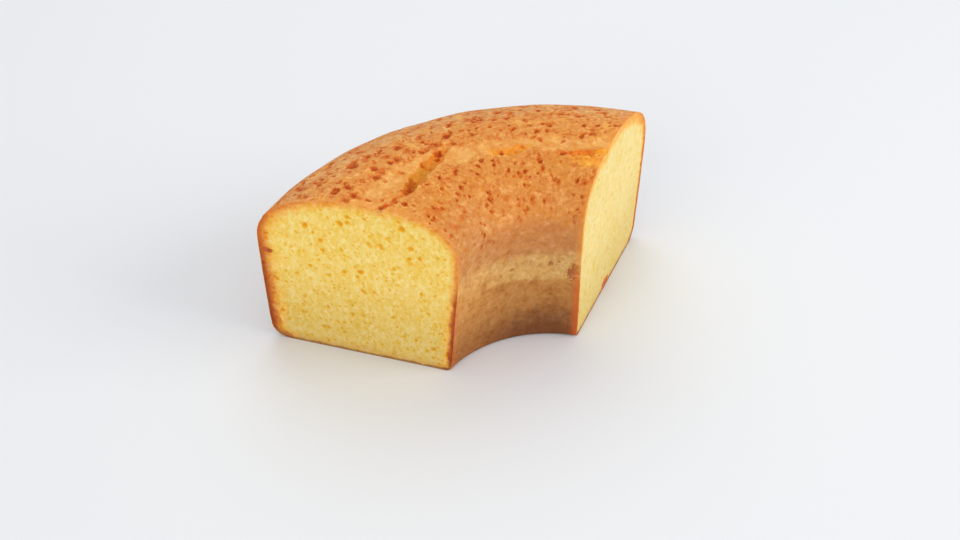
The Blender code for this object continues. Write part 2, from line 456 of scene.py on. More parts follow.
# The burst, the cracks and their hollows
BURST_EDGE = (0.25, 0.75, 3.2 * MM, 1.2)
GOLDEN_PATCHES = (4.2 * MM, 4.0, 4.0, 0.38, 0.60)
GOLDEN_SHADES = ((219, 146, 68), (231, 172, 97))
CRACK_EDGE = (0.02, 0.40, 2.0 * MM, 0.5)
CRACK_VEINS = (1.8 * MM, 3.0, 5.0, 0.46, 0.66, 0.45)
CRACK_VEIN_SHADE = (196, 110, 26)
HOLLOW_EDGE = (0.05, 0.75, 1.4 * MM, 0.9)
# Blots of the dome: size, seed, level, how far they gather, largest share, shade. Then the depth of a blot,
# the cell and opening of the specks between them, and the shade of a speck
DOME_BLOTS = (
    (2.2 * MM, 15.0, 0.585, 0.5, 0.55, (202, 96, 32)),
    (1.5 * MM, 16.0, 0.59, 0.35, 0.5, (198, 94, 30)),
)
BLOT_DEPTH = 0.35
SPECKS = (2.6 * MM, 0.40)
SPECK_SHADE = (190, 84, 26)
# Pits and stains, each with its shades on a wall and on the dome
PIT_RIM_EDGE = (0.0, 0.34, 1.2 * MM, 2.4)
PIT_RIM_SHADES = ((168, 96, 46), (206, 98, 28))
PIT_CORE_EDGE = (0.26, 0.80, 1.0 * MM, 2.2)
PIT_CORE_SHADES = ((146, 80, 42), (164, 56, 8))
STAIN_EDGE = (0.10, 0.70, 1.5 * MM, 3.2)
STAIN_SHADES = ((156, 68, 34), (166, 50, 2))
# Painted glow: the crust is painted lighter and golden this far from a cut, standing in for light let through
# from the crumb. Down the hole's wall, between these lengths along the outline, the painted glow turns to its
# second shade
PAINTED_GLOW_REACH = 4.0 * MM
PAINTED_GLOW_FOOT = (48.0 * MM, 30.0 * MM)
PAINTED_GLOW_SHADES = ((236, 152, 66), (208, 98, 42))
# Sheen, translucence as weight and reach, and fine bumps of the crust, with their height and strength
SHEEN_PATCHES = (2.5 * MM, 3.0, 6.0)
CRUST_ROUGHNESS = (0.68, 0.88)
CRUST_SHEEN = 0.10
CRUST_TRANSLUCENCE = (0.2, 1.2 * MM)
CRUST_BUMPS = (0.8 * MM, 3.0, 8.0)
CRUST_BUMP_HEIGHT = (0.22 * MM, 0.6)
# How far red, green and blue light goes into the cake, against that reach
LIGHT_DEPTHS = (1.0, 0.6, 0.25)

# The crumb from its foot up to where it is palest, at the left and at the right cut: darker towards the foot
# as painted shade, and paler and greyer on the right cut as a painted sheen, though both cuts are the same
# crumb
CRUMB_PAINTED_SHADE_HEIGHT = 56.0 * MM
LEFT_CRUMB_WITH_PAINTED_SHADE = ((223, 191, 105), (246, 212, 116))
RIGHT_CRUMB_WITH_PAINTED_SHADE_AND_SHEEN = ((214, 187, 112), (232, 206, 132))
# Its browned rim. Each bound is a share of the browning's depth, at the left and at the right cut: where the
# warm layer ends, where the browned one ends and where it is full, and where the outermost line ends
WARM_BOUND = (1.15, 0.90)
WARM_SHADE = (244, 188, 84)
UNBROWNED_BOUND = (0.70, 0.82)
BROWNED_BOUND = (0.18, 0.30)
OUTERMOST_BOUND = (0.36, 0.56)
CRUSTY_PATCHES = (2.3 * MM, 4.0, 27.0, 0.44, 0.64, 0.9, 0.9)
# Tints of the crumb, by which its red, green and blue are multiplied: in pale flecks, in deeper patches,
# in rich yellow grain and at the bottom of pores, then in the darker grain of the rim. The tints in the pores
# are partly their deeper yellow and partly painted shade in their hollows
PALE_TINT = (1.04, 1.15, 1.90)
DEEP_TINT = (0.94, 0.81, 0.32)
RICH_TINT = (0.97, 0.81, 0.26)
PORE_TINT_WITH_PAINTED_SHADE = (0.95, 0.71, 0.22)
CRUSTY_TINT = (0.88, 0.74, 0.62)
# How far the crumb's flecks and blots are drawn out upwards, the flecks, and the blots as size, seed,
# level, how far they gather, share of their tint, tint
CRUMB_UPRIGHT = 0.72
CRUMB_FLECKS = (2.0 * MM, 4.0, 12.0, 0.44, 0.66, 0.75)
CRUMB_BLOTS = (
    (2.4 * MM, 11.0, 0.51, 0.45, 0.42, DEEP_TINT),
    (1.3 * MM, 17.0, 0.56, 0.3, 0.6, RICH_TINT),
)
CRUMB_GRAIN = (1.6 * MM, 0.42)
PORE_RIM_EDGE = (0.0, 0.3)
PORE_CORE_EDGE = (0.25, 0.8)
# Heights up to which the foot of a cut face is tanned and browned
TAN_FOOT = 6.0 * MM
TAN_SHADE = (206, 150, 78)
BROWN_FOOT = 1.6 * MM
BROWN_SHADE = (146, 80, 40)
SCRAP_PATCHES = (2.6 * MM, 3.0, 25.0, 0.44, 0.60)
SCRAP_SHADES = ((172, 72, 30), (226, 146, 68))
CRUMB_ROUGHNESS = 0.85
CRUMB_SHEEN = 0.2
CRUMB_TRANSLUCENCE = (0.6, 2.0 * MM)
CRUMB_BUMPS = (1.1 * MM, 3.0, 13.0)
CRUMB_BUMP_HEIGHT = (0.3 * MM, 0.6)

# The base
BASE_PATCHES = (14.0 * MM, 4.0, 21.0, 0.36, 0.64)
BASE_SHADES = ((146, 86, 46), (186, 120, 62))
BASE_GRAIN = (1.8 * MM, 0.4)
BASE_GRAIN_SHADE = (104, 56, 32)
BASE_ROUGHNESS = 0.66
BASE_SHEEN = 0.3
BASE_BUMP_HEIGHT = (0.25 * MM, 0.6)

# The floor and the sky, with their colours as shares of light, and the lamps: name, place, what they point
# at, width, power
FLOOR_RADIUS = 4.0
FLOOR_SEGMENTS = 64
FLOOR_COLOUR = (0.74, 0.75, 0.76, 1.0)
FLOOR_ROUGHNESS = 0.6
SKY_COLOUR = (0.95, 0.97, 1.0, 1.0)
SKY_STRENGTH = 0.72
LAMPS = (
    ("key", (1.0, -0.75, 0.75), (0.0, 0.0, 0.05), 0.9, 8.8),
    ("fill", (-1.0, -0.75, 0.75), (0.0, 0.0, 0.05), 0.9, 5.0),
    ("overhead", (0.20, 0.75, 1.0), (0.05, 0.4, 0.0), 1.0, 3.6),
)

# Camera: it stands this far from the ring's axis, and looks down at the piece
CAMERA_OFFSET = Vector((-205.3 * MM, -337.4 * MM, 411.2 * MM))
CAMERA_HEADING = math.radians(63.626)
CAMERA_PITCH = math.radians(39.787)
CAMERA_ROLL = math.radians(1.216)
CAMERA_LENS = 49.72
CAMERA_SENSOR = 36.0


# ---- Form -----------------------------------------------------------------------------------------------


def blend(ends, share):
    return ends[0] + (ends[1] - ends[0]) * share


def wall_offset(height, top, draft, curve):
    """How far the wall stands in from its widest line at this height."""
    return draft * max(1.0 - height / top, 0.0) ** curve


def wall_side(edge_radius, lean, top, draft, curve, foot_round, foot_steps, wall_steps):
    """Points of a wall from its foot up to where the dome begins.

    Lean is 1 where the foot lies further from the ring's axis than the wall's widest line, and -1 where
    it lies nearer.
    """
    foot = edge_radius + lean * wall_offset(foot_round, top, draft, curve)
    points = []
    for step in range(foot_steps):
        turn = 0.5 * math.pi * step / foot_steps
        radius = foot + lean * foot_round * (1.0 - math.sin(turn))
        points.append((radius, foot_round * (1.0 - math.cos(turn))))
    for step in range(wall_steps):
        height = foot_round + (top - foot_round) * step / wall_steps
        points.append((edge_radius + lean * wall_offset(height, top, draft, curve), height))
    return points


def dome_side(edge_radius, edge_height, peak_height, fullness, steps):
    """Points of one side of the dome, from its edge up to just short of the peak."""
    points = []
    for step in range(steps):
        turn = 0.5 * math.pi * (1.0 - (1.0 - step / steps) ** RIDGE_CROWDING)
        out = math.cos(turn) ** (2.0 / fullness)
        up = math.sin(turn) ** (2.0 / fullness)
        radius = PEAK_RADIUS + (edge_radius - PEAK_RADIUS) * out
        points.append((radius, edge_height + (peak_height - edge_height) * up))
    return points


def section_outline(share):
    """The section at this share of the sweep: (radius, height) from the hole's foot over the dome."""
    height = blend((LEFT_HEIGHT, RIGHT_HEIGHT), share)
    inner_side = wall_side(
        HOLE_RADIUS, 1.0, INNER_WALL_TOP, INNER_DRAFT, INNER_DRAFT_CURVE,
        INNER_FOOT_ROUND, INNER_FOOT_STEPS, INNER_WALL_STEPS,
    )
    inner_side += dome_side(
        HOLE_RADIUS, INNER_WALL_TOP, height, blend(INNER_FULLNESS, share), INNER_DOME_STEPS
    )
    outer_side = wall_side(
        RING_RADIUS, -1.0, OUTER_WALL_TOP, OUTER_DRAFT, OUTER_DRAFT_CURVE,
        OUTER_FOOT_ROUND, OUTER_FOOT_STEPS, OUTER_WALL_STEPS,
    )
    outer_side += dome_side(
        RING_RADIUS, OUTER_WALL_TOP, height, blend(OUTER_FULLNESS, share), OUTER_DOME_STEPS
    )
    return inner_side + [(PEAK_RADIUS, height)] + outer_side[::-1]


def outline_lengths():
    """Length along the outline from the hole's foot to each of its points, at the middle of the sweep."""
    points = np.array(section_outline(0.5))
    runs = np.hypot(*np.diff(points, axis=0).T)
    return np.concatenate(([0.0], np.cumsum(runs)))


def plan_position(share, radius):
    """Where this share of the sweep lies in plan, from the ring's axis. 0 is the left cut, 1 the right."""
    left = LEFT_CUT_ANGLE - math.asin(LEFT_CUT_INSET / radius)
    right = RIGHT_CUT_ANGLE + math.asin(RIGHT_CUT_INSET / radius)
    angle = blend((left, right), share)
    return Vector((radius * math.cos(angle), radius * math.sin(angle)))


def trench_at(spot, line):
    """Depth of a crack or burst at this spot in plan, from full on its line to none at its half width."""
    deepest = 0.0
    for start, end in zip(line, line[1:]):
        run_start = plan_position(start[0], start[1])
        run = plan_position(end[0], end[1]) - run_start
        along = min(max((spot - run_start).dot(run) / run.length_squared, 0.0), 1.0)
        aside = (spot - run_start - run * along).length
        half_width = blend((start[3], end[3]), along)
        if aside < half_width:
            depth = blend((start[2], end[2]), along)
            deepest = max(deepest, depth * (1.0 - (aside / half_width) ** 2) ** 2)
    return deepest


def unevenness(place, size, seed):
    """A smooth, repeatable rise and fall between -1 and 1, with lumps of about this size."""
    return noise.noise(place / size + Vector((seed, 0.0, 0.0)))


def wandering(place, wander):
    """A place in plan, shifted by up to about the reach of this wander."""
    reach, length, seed = wander
    shift = Vector((0.0, 0.0))
    for reach_share, length_share, first_seed, second_seed in BENDS:
        first = unevenness(place, length_share * length, seed + first_seed)
        second = unevenness(place, length_share * length, seed + second_seed)
        shift += reach_share * Vector((first, second))
    return place.xy + shift * reach


def crust_relief(place, radius):
    """How far the crust swells or is cut down at a place on the smooth body: (outwards, up), burst, crack."""
    burst = 0.0
    crack = 0.0
    if place.z > INNER_WALL_TOP:
        burst = trench_at(wandering(place, BURST_WANDER), BURST)
        spot = wandering(place, CRACK_WANDER)
        crack = max(trench_at(spot, line) for line in (MAIN_CRACK, MIDDLE_CRACK, RIGHT_CRACK))
    foot_fade = min(place.z / INNER_WALL_TOP, 1.0)
    swell = foot_fade * SWELL[0] * unevenness(place, *SWELL[1:])
    swell += RAGGED[0] * burst / BURST_DEPTH * unevenness(place, *RAGGED[1:])
    outwards = (Vector((radius, place.z)) - SECTION_CORE).normalized()
    return outwards * swell - Vector((0.0, burst + crack)), burst, crack


def sweep_section(body):
    """Swings the section through the sweep. Every point keeps its station on the outline."""
    station = body.verts.layers.int.new("station")
    corners = []
    for number, (radius, height) in enumerate(section_outline(0.0)):
        corner = body.verts.new((radius, 0.0, height))
        corner[station] = number
        corners.append(corner)
    section = body.faces.new(corners)
    bmesh.ops.spin(
        body,
        geom=[section] + section.edges[:] + corners,
        cent=(0.0, 0.0, 0.0),
        axis=(0.0, 0.0, -1.0),
        angle=SWEEP_TURN,
        steps=SWEEP_STEPS,
    )
    return station


def shape_body(body, station):
    """Moves each swept point to its true place, and notes on it where it lies on the crust."""
    marks = [body.verts.layers.float.new(name) for name in ("sweep", "profile", "burst", "crack")]
    lengths = outline_lengths()
    outlines = [section_outline(column / SWEEP_STEPS) for column in range(SWEEP_STEPS + 1)]
    for corner in body.verts:
        column = round(math.atan2(-corner.co.y, corner.co.x) / SWEEP_TURN * SWEEP_STEPS)
        share = column / SWEEP_STEPS
        radius, height = outlines[column][corner[station]]
        spot = plan_position(share, radius)
        relief, burst, crack = crust_relief(Vector((spot.x, spot.y, height)), radius)
        spot = plan_position(share, radius + relief.x)
        corner.co = (spot.x + RING_AXIS.x, spot.y + RING_AXIS.y, height + relief.y)
        values = (share, lengths[corner[station]], burst / BURST_DEPTH, crack / FULL_CRACK)
        for mark, value in zip(marks, values):
            corner[mark] = value


def cut_frame(side):
    """A cut's way along the floor, its outward normal, and its point nearest to the ring's axis."""
    if side == "left":
        angle, turn, inset = LEFT_CUT_ANGLE, 0.5 * math.pi, -LEFT_CUT_INSET
    else:
        angle, turn, inset = RIGHT_CUT_ANGLE, -0.5 * math.pi, -RIGHT_CUT_INSET
    along = Vector((math.cos(angle), math.sin(angle), 0.0))
    outward = Vector((math.cos(angle + turn), math.sin(angle + turn), 0.0))
    return along, outward, RING_AXIS.to_3d() + outward * inset


def divide_cut_face(body, face, along, nearest):
    """Cuts a flat cut face into upright strips, and those into cells."""
    cells = [face]
    for way in (along, Vector((0.0, 0.0, 1.0))):
        reach = [(corner.co - nearest).dot(way) for cell in cells for corner in cell.verts]
        waiting = cells
        cells = []
        place = min(reach) + CRUMB_CELL
        while place < max(reach) - THINNEST_CELL * CRUMB_CELL:
            edges = dict.fromkeys(edge for cell in waiting for edge in cell.edges)
            corners = dict.fromkeys(corner for cell in waiting for corner in cell.verts)
            result = bmesh.ops.bisect_plane(
                body,
                geom=waiting + list(edges) + list(corners),
                dist=ON_PLANE,
                plane_co=nearest + way * place,
                plane_no=way,
            )
            pieces = [part for part in result["geom"] if isinstance(part, bmesh.types.BMFace)]
            waiting = []
            for piece in pieces:
                beyond = (piece.calc_center_median() - nearest).dot(way) > place
                (waiting if beyond else cells).append(piece)
            place += CRUMB_CELL
        cells += waiting
    return cells


def make_body_mesh():
    """The smooth body with its burst and cracks, with three finishes: crust, crumb and base."""
    body = bmesh.new()
    station = sweep_section(body)
    shape_body(body, station)
    bmesh.ops.recalc_face_normals(body, faces=body.faces)
    crumb_mark = body.verts.layers.float.new("crumb")
    for side in ("left", "right"):
        along, outward, nearest = cut_frame(side)
        facing = [face for face in body.faces if face.normal.dot(outward) > FACING]
        face = max(facing, key=lambda face: len(face.verts))
        for cell in divide_cut_face(body, face, along, nearest):
            cell.material_index = CRUMB_FINISH
            for corner in cell.verts:
                corner[crumb_mark] = 1.0
    for face in body.faces:
        if face.normal.z < -FACING and face.calc_center_median().z < ON_BASE:
            face.material_index = BASE_FINISH
    mesh = bpy.data.meshes.new("lemon_ring_cake")
    body.to_mesh(mesh)
    body.free()
    return mesh


# ---- Fine relief ----------------------------------------------------------------------------------------


def read_vectors(mesh, collection, name):
    """One vector for each of the mesh's points, as the rows of an array."""
    vectors = np.empty(len(mesh.vertices) * 3)
    collection.foreach_get(name, vectors)
    return vectors.reshape(-1, 3)


def read_mark(mesh, name):
    marks = np.empty(len(mesh.vertices))
    mesh.attributes[name].data.foreach_get("value", marks)
    return marks


def write_mark(mesh, name, marks):
    layer = mesh.attributes.get(name) or mesh.attributes.new(name, "FLOAT", "POINT")
    layer.data.foreach_set("value", np.asarray(marks, dtype=np.float32))


def rough(places, size, seed):
    """Fine unevenness between about -1 and 1 at each place."""
    shift = Vector((seed, seed, 0.0))
    return np.array([noise.noise(Vector(place) / size + shift) for place in places])


def roughen(places, relief):
    """How deep each place is pushed in by an unevenness of this height, size and seed."""
    height, size, seed = relief
    return height * (1.0 - rough(places, size, seed))


def creases(places, relief):
    """How deep each place lies between rounded lumps of this height, size and seed: 0 on a lump's top."""
    height, size, seed = relief
    shift = Vector((seed, 0.0, seed))
    nearest = np.array([noise.voronoi(Vector(place) / size + shift)[0][0] for place in places])
    return height * np.clip(nearest, 0.0, 1.0)


def dimples(places, holes, random):
    """How far into a dimple each place lies, from 0 outside to its strength at its middle, and its radius.

    The holes are given as (centre, radius, strength). They are narrower around the ring than across it.
    """
    inside = np.zeros(len(places))
    width = np.zeros(len(places))
    uneven, size, seed = DIMPLE_UNEVEN
    for centre, radius, strength in holes:
        around = np.array((RING_AXIS.y - centre[1], centre[0] - RING_AXIS.x, 0.0))
        lean = random.normal(size=3) + DIMPLE_LEAN * around / np.linalg.norm(around)
        lean /= np.linalg.norm(lean)
        squeeze = random.uniform(0.0, DIMPLE_SQUEEZE)
        near = np.flatnonzero(np.abs(places - centre).max(axis=1) < DIMPLE_REACH * radius)
        offset = places[near] - centre
        across = np.linalg.norm(offset + squeeze * np.outer(offset @ lean, lean), axis=1)
        across *= 1.0 + uneven * rough(places[near], size, seed)
        share = strength * np.clip(1.0 - (across / radius) ** 2, 0.0, 1.0)
        better = share > inside[near]
        inside[near[better]] = share[better]
        width[near[better]] = radius
    return inside, width


def nearest_place(places, marks, share, length):
    """The place on the crust nearest to this share of the sweep and length along the outline."""
    gap = np.abs(marks["sweep"] - share) * SWEEP_LENGTH + np.abs(marks["profile"] - length)
    return places[np.argmin(gap)]


def crack_hollows(places, dome):
    """The hollows of the cracks, each as (centre, half width, strength)."""
    hollows = []
    for share, radius, half_width, strength in HOLLOWS:
        spot = np.array(plan_position(share, radius) + RING_AXIS)
        away = np.linalg.norm(places[:, :2] - spot, axis=1) + np.where(dome, 0.0, 1.0)
        hollows.append((places[np.argmin(away)], half_width, strength))
    return hollows


def crust_pits(places, marks, crust, random):
    """The scattered pits and the chief ones, each as (centre, radius, strength)."""
    profile = marks["profile"]
    zone = np.flatnonzero(crust & (profile > PIT_ZONE[0]) & (profile < PIT_ZONE[1]))
    quiet = 1.0 - BURST_CALM * np.clip(marks["burst"][zone], 0.0, 1.0)
    from_end = np.minimum(profile[zone] - PIT_ZONE[0], PIT_ZONE[1] - profile[zone])
    quiet *= np.clip(from_end / PIT_FADE, 0.0, 1.0) ** 2
    reach = np.hypot(places[zone, 0] - RING_AXIS.x, places[zone, 1] - RING_AXIS.y)
    chance = quiet * reach * np.interp(profile[zone], FAR_SIDE, (1.0, FAR_SIDE_PITS))
    chosen = random.choice(zone, size=PIT_COUNT, replace=False, p=chance / chance.sum())
    radii = blend(PIT_RADIUS, random.random(PIT_COUNT) ** 2)
    radii *= np.interp(profile[chosen], FAR_SIDE, (1.0, FAR_SIDE_GROWTH))
    strengths = random.uniform(PIT_FAINTEST, 1.0, PIT_COUNT)
    pits = list(zip(places[chosen], radii, strengths))
    for share, length, radius in CHIEF_PITS:
        pits.append((nearest_place(places, marks, share, length), radius, 1.0))
    return pits


def relieve_crust(places, normals, marks, crust, random):
    """Hollows, pits, lumps and leather of the crust. Returns how far into a pit or a hollow each place is."""
    pit, pit_radius = dimples(places, crust_pits(places, marks, crust, random), random)
    pit *= crust
    hollows = crack_hollows(places, crust & (places[:, 2] > INNER_WALL_TOP))
    hollow, hollow_radius = dimples(places, hollows, random)
    hollow *= crust
    depth = PIT_DEPTH * pit_radius * pit + HOLLOW_DEPTH * hollow_radius * hollow
    depth += roughen(places, LEATHER)
    depth += np.clip(marks["burst"], 0.0, 1.0) * creases(places, BURST_LUMPS)
    depth += np.clip(CRACK_LUMP_RISE * marks["crack"], 0.0, 1.0) * creases(places, CRACK_LUMPS)
    depth *= np.clip(places[:, 2] / RELIEF_FADE, 0.0, 1.0)
    places -= normals * (depth * crust)[:, None]
    return pit, hollow


def cut_arrays(side):
    return [np.array(part) for part in cut_frame(side)]


def cut_distance(places, side):
    """How far each place lies from the plane of a cut."""
    _, outward, nearest = cut_arrays(side)
    return np.abs((places - nearest) @ outward)


def relieve_crumb(places, side, on_face, inner, random):
    """Pores and roughness of one cut face. Returns how far into a pore each place is."""
    along, outward, nearest = cut_arrays(side)
    spots = places[on_face]
    chosen = random.choice(len(spots), size=PORE_COUNT, replace=False)
    radii = blend(PORE_RADIUS, random.random(PORE_COUNT) ** 3)
    strengths = random.uniform(PORE_FAINTEST, 1.0, PORE_COUNT)
    pores = list(zip(spots[chosen], radii, strengths))
    if side == "left":
        for distance, height, radius in CHIEF_PORES:
            pores.append((nearest + along * distance + np.array((0.0, 0.0, height)), radius, 1.0))
    pore, width = dimples(spots, pores, random)
    depth = PORE_DEPTH * width * pore + roughen(spots, CRUMB_ROUGH) + roughen(spots, KNIFE_WAVE)
    drift = random.uniform(-CELL_JITTER, CELL_JITTER, (len(spots), 2))
    moved = inner[on_face]
    spots += np.outer(drift[:, 0] * moved, along)
    spots[:, 2] += drift[:, 1] * moved
    places[on_face] = spots - np.outer(depth * moved, outward)
    return pore


def rim_distance(spots, rim, rim_profile):
    """Distance from each spot to the nearest place on the crust's rim, and that place's length along it."""
    order = np.argsort(rim_profile)
    rim = rim[order]
    rim_profile = rim_profile[order]
    distance = np.full(len(spots), np.inf)
    length = np.zeros(len(spots))
    for start, end, first, last in zip(rim, rim[1:], rim_profile, rim_profile[1:]):
        run = end - start
        along = np.clip((spots - start) @ run / max(run @ run, TINY), 0.0, 1.0)
        gap = np.linalg.norm(spots - start - np.outer(along, run), axis=1)
        closer = gap < distance
        distance[closer] = gap[closer]
        length[closer] = first + along[closer] * (last - first)
    return distance, length


def rind_depth(side, length):
    """How deep the browning reaches into a cut face, by length along the crust's outline."""
    lengths, depths = np.array(RIND_DEPTHS[side]).T * MM
    return np.interp(length, lengths, depths)


def stain_marks(places, marks, on_crust):
    """How far into a stain or a scrap each place lies, from 0 outside to 1 at its middle."""
    stain = np.zeros(len(places))
    for share, length, half_width, half_length in STAINS:
        middle = nearest_place(places, marks, share, length)
        across = np.linalg.norm((places - middle)[:, :2], axis=1) / half_width
        along = (marks["profile"] - length) / half_length
        stain = np.maximum(stain, (1.0 - across**2 - along**2) * on_crust)
    for side, distance, height, half_width, half_height in SCRAPS:
        along, _, nearest = cut_arrays(side)
        across = ((places - nearest - along * distance) @ along) / half_width
        up = (places[:, 2] - height) / half_height
        on_cut = cut_distance(places, side) < ON_CUT
        stain = np.maximum(stain, (1.0 - across**2 - up**2) * on_cut)
    return stain


def turn_along_cuts(places, normals, rim):
    """Turns the normals at the rims of the cut faces along the cuts, so that relief leaves the rims flat."""
    for side in ("left", "right"):
        _, outward, _ = cut_arrays(side)
        flat = rim & (cut_distance(places, side) < ON_CUT)
        normals[flat] -= np.outer(normals[flat] @ outward, outward)
    normals /= np.maximum(np.linalg.norm(normals, axis=1), TINY)[:, None]


def add_fine_relief(mesh):
    """Moves the smooth body's points inwards into pits, pores and roughness, and marks where these lie."""
    random = np.random.default_rng(RANDOM_SEED)
    places = read_vectors(mesh, mesh.vertices, "co")
    normals = read_vectors(mesh, mesh.vertex_normals, "vector")
    marks = {name: read_mark(mesh, name) for name in ("sweep", "profile", "burst", "crack")}
    crumb = read_mark(mesh, "crumb") > 0.5
    on_crust = np.zeros(len(places), dtype=bool)
    for polygon in mesh.polygons:
        if polygon.material_index != CRUMB_FINISH:
            on_crust[list(polygon.vertices)] = True
    rim = crumb & on_crust
    turn_along_cuts(places, normals, rim)
    stain = stain_marks(places, marks, on_crust)
    cut_gap = np.minimum(cut_distance(places, "left"), cut_distance(places, "right"))
    pit, hollow = relieve_crust(places, normals, marks, on_crust, random)
    pore = np.zeros(len(places))
    rind = np.zeros(len(places))
    profile = marks["profile"].copy()
    for side in ("left", "right"):
        on_face = np.flatnonzero(crumb & (cut_distance(places, side) < ON_CUT))
        edge = on_face[rim[on_face] & (places[on_face, 2] > ON_BASE)]
        gap, length = rim_distance(places[on_face], places[edge], marks["profile"][edge])
        rind[on_face] = gap / rind_depth(side, length)
        profile[on_face] = length
        pore[on_face] = relieve_crumb(places, side, on_face, crumb & ~on_crust, random)
    finished = {"pit": pit, "hollow": hollow, "pore": pore, "rind": rind, "stain": stain}
    finished.update({"cut_gap": cut_gap, "profile": profile})
    for name, values in finished.items():
        write_mark(mesh, name, values)
    mesh.vertices.foreach_set("co", places.ravel())
    mesh.update()


def mark_sharp_rims(mesh):
    """Smooth shading all over, with a sharp line where crust, crumb and base meet."""
    mesh.shade_smooth()
    finishes = {}
    for polygon in mesh.polygons:
        for key in polygon.edge_keys:
            finishes.setdefault(key, set()).add(polygon.material_index)
    sharp = mesh.attributes.new("sharp_edge", "BOOLEAN", "EDGE")
    sharp.data.foreach_set("value", [len(finishes[edge.key]) > 1 for edge in mesh.edges])


# ---- Finishes -------------------------------------------------------------------------------------------


def seen(red, green, blue):
    """A colour as the eye sees it, 0 to 255, as the light it reflects."""
    shades = []
    for shade in (red / 255.0, green / 255.0, blue / 255.0):
        shades.append(shade / 12.92 if shade <= 0.04045 else ((shade + 0.055) / 1.055) ** 2.4)
    return (*shades, 1.0)


def add_node(tree, kind, settings, inputs):
    """A node with its settings, whose inputs are linked where a socket is given, and else set."""
    node = tree.nodes.new(kind)
    for name, value in settings.items():
        setattr(node, name, value)
    for name, value in inputs.items():
        socket = node.inputs[name]
        if isinstance(value, bpy.types.NodeSocket):
            tree.links.new(value, socket)
        else:
            socket.default_value = value
    return node


def read_attribute(tree, name):
    return add_node(tree, "ShaderNodeAttribute", {"attribute_name": name}, {}).outputs["Fac"]


def arithmetic(tree, operation, first, second):
    node = add_node(tree, "ShaderNodeMath", {"operation": operation}, {0: first, 1: second})
    return node.outputs["Value"]


def multiply(tree, *factors):
    product = factors[0]
    for factor in factors[1:]:
        product = arithmetic(tree, "MULTIPLY", product, factor)
    return product


def rescale(tree, value, low, high, new_low=0.0, new_high=1.0):
    """Eases from new_low to new_high as the value goes from low to high."""
    settings = {"interpolation_type": "SMOOTHSTEP"}
    inputs = {"Value": value, "From Min": low, "From Max": high, "To Min": new_low, "To Max": new_high}
    return add_node(tree, "ShaderNodeMapRange", settings, inputs).outputs["Result"]


def between(tree, share, first, last):
    """Eases from the first value to the last as the share goes from 0 to 1."""
    return rescale(tree, share, 0.0, 1.0, first, last)


def mix_colour(tree, factor, first, second, way="MIX"):
    settings = {"data_type": "RGBA", "blend_type": way, "clamp_factor": True}
    return add_node(tree, "ShaderNodeMix", settings, {0: factor, 6: first, 7: second}).outputs[2]


def two_shades(tree, factor, first, second):
    """Eases from the first colour to the second, both as the eye sees them."""
    return mix_colour(tree, factor, seen(*first), seen(*second))


def lay(tree, colour, mask, share, shade):
    """Lays a shade over the colour where the mask is, at most by this share.

    The shade is a socket, or a colour as the eye sees it.
    """
    if not isinstance(shade, bpy.types.NodeSocket):
        shade = seen(*shade)
    return mix_colour(tree, multiply(tree, mask, share), colour, shade)


def tint(tree, colour, mask, factors):
    """Multiplies the colour's red, green and blue by these factors where the mask is."""
    return mix_colour(tree, mask, colour, (*factors, 1.0), "MULTIPLY")


def colour_ramp(tree, value, stops):
    """Colour along a value from 0 to 1, through stops of (place, colour as the eye sees it)."""
    node = add_node(tree, "ShaderNodeValToRGB", {}, {"Fac": value})
    band = node.color_ramp
    stops = [(place, seen(*shade)) for place, shade in stops]
    band.elements[0].position, band.elements[0].color = stops[0]
    band.elements[1].position, band.elements[1].color = stops[-1]
    for place, shade in stops[1:-1]:
        band.elements.new(place).color = shade
    return node.outputs["Color"]


def new_group(name, inputs, outputs):
    """A node group with named number inputs and their start values, and named outputs with their kinds."""
    group = bpy.data.node_groups.new(name, "ShaderNodeTree")
    for title, value in inputs.items():
        socket = group.interface.new_socket(name=title, in_out="INPUT", socket_type="NodeSocketFloat")
        socket.default_value = value
    for title, kind in outputs.items():
        group.interface.new_socket(name=title, in_out="OUTPUT", socket_type=kind)
    return group, group.nodes.new("NodeGroupInput").outputs, group.nodes.new("NodeGroupOutput").inputs


def use_group(tree, name, inputs):
    settings = {"node_tree": bpy.data.node_groups[name]}
    return add_node(tree, "ShaderNodeGroup", settings, inputs).outputs


def make_patch_group():
    """Soft patches between 0 and 1 on Object coordinates, of about a given size in metres.

    Upright is 1 for round patches, and less for ones drawn out upwards.
    """
    given_values = {"Size": 3.0 * MM, "Detail": 2.0, "Seed": 0.0, "Upright": 1.0}
    group, given, result = new_group("soft_patches", given_values, {"Patch": "NodeSocketFloat"})
    spot = add_node(group, "ShaderNodeTexCoord", {}, {}).outputs["Object"]
    stretch = {"X": 1.0, "Y": 1.0, "Z": given["Upright"]}
    squeeze = add_node(group, "ShaderNodeCombineXYZ", {}, stretch).outputs["Vector"]
    squeezed = add_node(group, "ShaderNodeVectorMath", {"operation": "MULTIPLY"}, {0: spot, 1: squeeze})
    scale = arithmetic(group, "DIVIDE", 1.0, given["Size"])
    inputs = {"W": given["Seed"], "Scale": scale, "Detail": given["Detail"], "Roughness": PATCH_ROUGHNESS}
    inputs["Vector"] = squeezed.outputs["Vector"]
    patch = add_node(group, "ShaderNodeTexNoise", {"noise_dimensions": "4D"}, inputs)
    group.links.new(patch.outputs["Fac"], result["Patch"])


